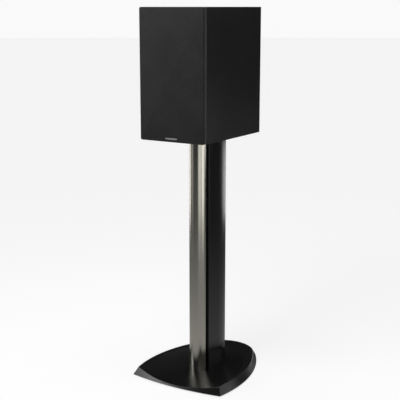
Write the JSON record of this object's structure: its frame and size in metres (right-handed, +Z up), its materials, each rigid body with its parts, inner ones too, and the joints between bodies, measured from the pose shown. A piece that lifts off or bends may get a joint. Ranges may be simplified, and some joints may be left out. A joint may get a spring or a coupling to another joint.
{
  "type": "bookshelf speaker on a floor stand",
  "caption": "Compact box loudspeaker with a full cloth grille, on a stand with a half-round metal trim, wing-shaped black column and dished shield-shaped base.",
  "frame": {"origin": "on the floor, under the middle of the whole object", "axes": "+Z up, the grille faces -Y, +X is the object's left-hand side seen from behind"},
  "size_m": [0.3202, 0.388, 1.071],
  "materials": {
    "cabinet_wrap": "satin black wrap on fibreboard",
    "baffle_black": "matt black painted fibreboard",
    "raw_board": "bare fibreboard",
    "grille_cloth": "fine black woven cloth",
    "black_moulding": "moulded black plastic",
    "badge_metal": "brushed bar",
    "champagne_metal": "satin champagne anodised",
    "column_black": "satin black anodised",
    "base_black": "satin black powder coat",
    "plate_black": "satin black",
    "rubber_black": "matt",
    "bolt_steel": "black oxide steel",
    "stud_steel": "zinc plated",
    "basket_grey": "textured black",
    "motor_steel": "passivated steel",
    "ferrite": "ground ferrite",
    "cone_grey": "mineral filled cone",
    "cap_gloss": "gloss",
    "spider_cloth": "resin dipped cloth",
    "coil_copper": "enamelled winding",
    "dome_silk": "coated silk",
    "post_brass": "gold plated",
    "red_plastic": "moulded",
    "black_plastic": "moulded",
    "board_green": "solder mask",
    "capacitor_film": "film can",
    "resistor_white": "cement",
    "foam_grey": "open foam",
    "lead_insulation": "insulated wire"
  },
  "bodies": {
    "stand": {"base_casting": "base_black", "base_screws": "bolt_steel", "column_extrusion": "column_black", "column_trim": "champagne_metal", "stand_top_plate": "plate_black", "top_plate_screws": "bolt_steel", "isolation_pads": "rubber_black"},
    "cabinet": {"top_panel": "cabinet_wrap", "bottom_panel": "cabinet_wrap", "left_panel": "cabinet_wrap", "right_panel": "cabinet_wrap", "front_baffle": "baffle_black", "rear_panel": "cabinet_wrap", "cabinet_brace": "raw_board", "damping_foam": "foam_grey", "peg_cups": "rubber_black", "port_tube": "black_moulding", "terminal_cup": "black_moulding", "terminal_screws": "bolt_steel", "binding_posts": "post_brass", "woofer_basket": "basket_grey", "woofer_screws": "bolt_steel", "woofer_top_plate": "motor_steel", "woofer_magnet": "ferrite", "woofer_back_plate": "motor_steel", "woofer_surround": "rubber_black", "woofer_spider": "spider_cloth", "tweeter_faceplate": "black_moulding", "tweeter_screws": "bolt_steel", "tweeter_motor_plates": "motor_steel", "tweeter_magnet": "ferrite", "tweeter_suspension": "dome_silk", "crossover_board": "board_green", "board_standoffs": "black_moulding", "inductors": "coil_copper", "capacitors": "capacitor_film", "resistors": "resistor_white", "internal_leads": "lead_insulation"},
    "grille": {"grille_frame": "black_moulding", "grille_cloth": "grille_cloth", "grille_pegs": "black_moulding", "grille_badge": "badge_metal"},
    "woofer_cone": {"woofer_cone": "cone_grey", "dust_cap": "cap_gloss", "woofer_voice_coil": "coil_copper"},
    "tweeter_dome": {"tweeter_dome": "dome_silk", "tweeter_coil": "coil_copper"},
    "red_washer": {"red_washer": "post_brass"},
    "red_knob": {"red_knob": "red_plastic"},
    "black_washer": {"black_washer": "post_brass"},
    "black_knob": {"black_knob": "black_plastic"},
    "foot_front_left": {"foot_pad_front_left": "rubber_black", "foot_stud_front_left": "stud_steel"},
    "foot_front_right": {"foot_pad_front_right": "rubber_black", "foot_stud_front_right": "stud_steel"},
    "foot_rear_left": {"foot_pad_rear_left": "rubber_black", "foot_stud_rear_left": "stud_steel"},
    "foot_rear_right": {"foot_pad_rear_right": "rubber_black", "foot_stud_rear_right": "stud_steel"}
  },
  "joints": [
    {"name": "speaker_lift", "type": "slide", "parent": "stand", "child": "cabinet", "axis": [0, 0, 1], "range_m": [0, 0.06]},
    {"name": "grille_pull", "type": "slide", "parent": "cabinet", "child": "grille", "axis": [0, -1, 0], "range_m": [0, 0.06]},
    {"name": "woofer_travel", "type": "slide", "parent": "cabinet", "child": "woofer_cone", "axis": [0, -1, 0], "range_m": [-0.005, 0.005], "stiffness_N_per_m": 1200, "deforming": ["woofer_surround", "woofer_spider"]},
    {"name": "tweeter_travel", "type": "slide", "parent": "cabinet", "child": "tweeter_dome", "axis": [0, -1, 0], "range_m": [-0.0003, 0.0003], "stiffness_N_per_m": 800, "deforming": ["tweeter_suspension"]},
    {"name": "black_washer_slide", "type": "slide", "parent": "cabinet", "child": "black_washer", "axis": [0, 1, 0], "range_m": [0, 0.003]},
    {"name": "black_knob_turn", "type": "hinge", "parent": "black_washer", "child": "black_knob", "pos_m": [-0.0095, 0.1075, 0.821], "axis": [0, 1, 0], "range_deg": [0, 1080]},
    {"name": "red_washer_slide", "type": "slide", "parent": "cabinet", "child": "red_washer", "axis": [0, 1, 0], "range_m": [0, 0.003]},
    {"name": "red_knob_turn", "type": "hinge", "parent": "red_washer", "child": "red_knob", "pos_m": [0.0095, 0.1075, 0.821], "axis": [0, 1, 0], "range_deg": [0, 1080]},
    {"name": "foot_front_left_screw", "type": "slide", "parent": "stand", "child": "foot_front_left", "axis": [0, 0, -1], "range_m": [0, 0.006]},
    {"name": "foot_front_right_screw", "type": "slide", "parent": "stand", "child": "foot_front_right", "axis": [0, 0, -1], "range_m": [0, 0.006]},
    {"name": "foot_rear_left_screw", "type": "slide", "parent": "stand", "child": "foot_rear_left", "axis": [0, 0, -1], "range_m": [0, 0.006]},
    {"name": "foot_rear_right_screw", "type": "slide", "parent": "stand", "child": "foot_rear_right", "axis": [0, 0, -1], "range_m": [0, 0.006]}
  ],
  "couplings": [
    {"joint": "black_knob_turn", "follows": "black_washer_slide", "rad_per_m": 6283.2},
    {"joint": "red_knob_turn", "follows": "red_washer_slide", "rad_per_m": 6283.2}
  ]
}
